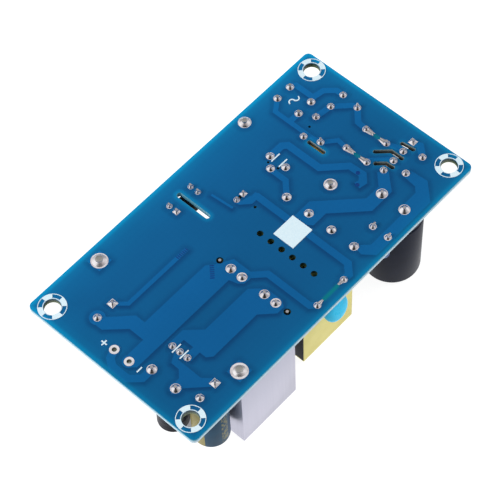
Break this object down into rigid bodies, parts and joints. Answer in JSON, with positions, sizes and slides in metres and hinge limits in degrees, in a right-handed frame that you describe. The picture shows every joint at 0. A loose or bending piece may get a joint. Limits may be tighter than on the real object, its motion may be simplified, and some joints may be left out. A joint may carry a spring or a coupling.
{
  "type": "open frame power supply",
  "caption": "Mains power supply on a bare circuit board, with mounting holes at its corners and its parts under the board.",
  "frame": {"origin": "centre of the four mounting holes, on the board's solder face", "axes": "+Z out of the solder face, +X along the board towards the mains input end, +Y across the board; the parts hang towards -Z"},
  "size_m": [0.106, 0.0572, 0.0286],
  "materials": {
    "solder_mask": "glossy blue solder mask over glass laminate",
    "masked_copper": "copper under glossy blue solder mask",
    "tin": "bright tinned surface",
    "white_print": "white screen print",
    "sheet_aluminium": "pale satin aluminium sheet",
    "ferrite": "dull dark grey ferrite",
    "moulding": "dull black moulding",
    "winding_tape": "pale yellow polyester tape",
    "bulk_sleeve": "glossy black sleeve",
    "output_sleeve": "glossy slate green sleeve with gold stripes",
    "rubber_seal": "black rubber",
    "disc_coating": "bright blue dipped coating",
    "film_case": "golden yellow case",
    "dipped_coating": "blue dipped coating",
    "thermistor_coating": "dark green dipped coating",
    "enamelled_wire": "copper wire with clear enamel",
    "terminal_green": "green moulding",
    "plated_steel": "plated steel",
    "insulator": "pale grey insulating sheet",
    "inductor_sleeve": "black shrunk sleeve",
    "chip_body": "small dark chip bodies"
  },
  "bodies": {
    "root": {"circuit_board": "solder_mask", "copper_tracks": "masked_copper", "copper_pads": "tin", "white_print": "white_print", "solder_joints": "tin", "output_heatsink": "sheet_aluminium", "primary_heatsink": "sheet_aluminium", "heatsink_pins": "plated_steel", "transformer_core_lower": "ferrite", "transformer_core_upper": "ferrite", "transformer_bobbin": "moulding", "transformer_windings": "winding_tape", "transformer_tape": "winding_tape", "transformer_pins": "tin", "bulk_capacitor": "bulk_sleeve", "output_capacitor_far": "output_sleeve", "output_capacitor_near": "output_sleeve", "bias_capacitor": "bulk_sleeve", "capacitor_seals": "rubber_seal", "capacitor_leads": "tin", "disc_capacitor": "disc_coating", "film_capacitor": "film_case", "snubber_capacitor": "dipped_coating", "varistor": "dipped_coating", "thermistor": "thermistor_coating", "fuse": "moulding", "straight_leads": "tin", "disc_capacitor_leads": "tin", "choke_core": "ferrite", "choke_bobbin": "moulding", "choke_windings": "enamelled_wire", "choke_pins_set": "tin", "bridge_rectifier": "moulding", "bridge_leads": "tin", "terminal_housing": "terminal_green", "terminal_clamps": "plated_steel", "terminal_screws": "plated_steel", "switch_transistor": "moulding", "switch_transistor_frame": "tin", "output_rectifier": "moulding", "output_rectifier_frame": "tin", "insulating_pads": "insulator", "insulating_bushes": "insulator", "transistor_screws": "plated_steel", "transistor_nuts": "plated_steel", "optocoupler": "moulding", "optocoupler_leads": "tin", "output_inductor": "ferrite", "inductor_windings": "inductor_sleeve", "inductor_leads": "tin", "controller_chip": "moulding", "shunt_regulator": "moulding", "chip_parts": "chip_body"}
  },
  "joints": []
}
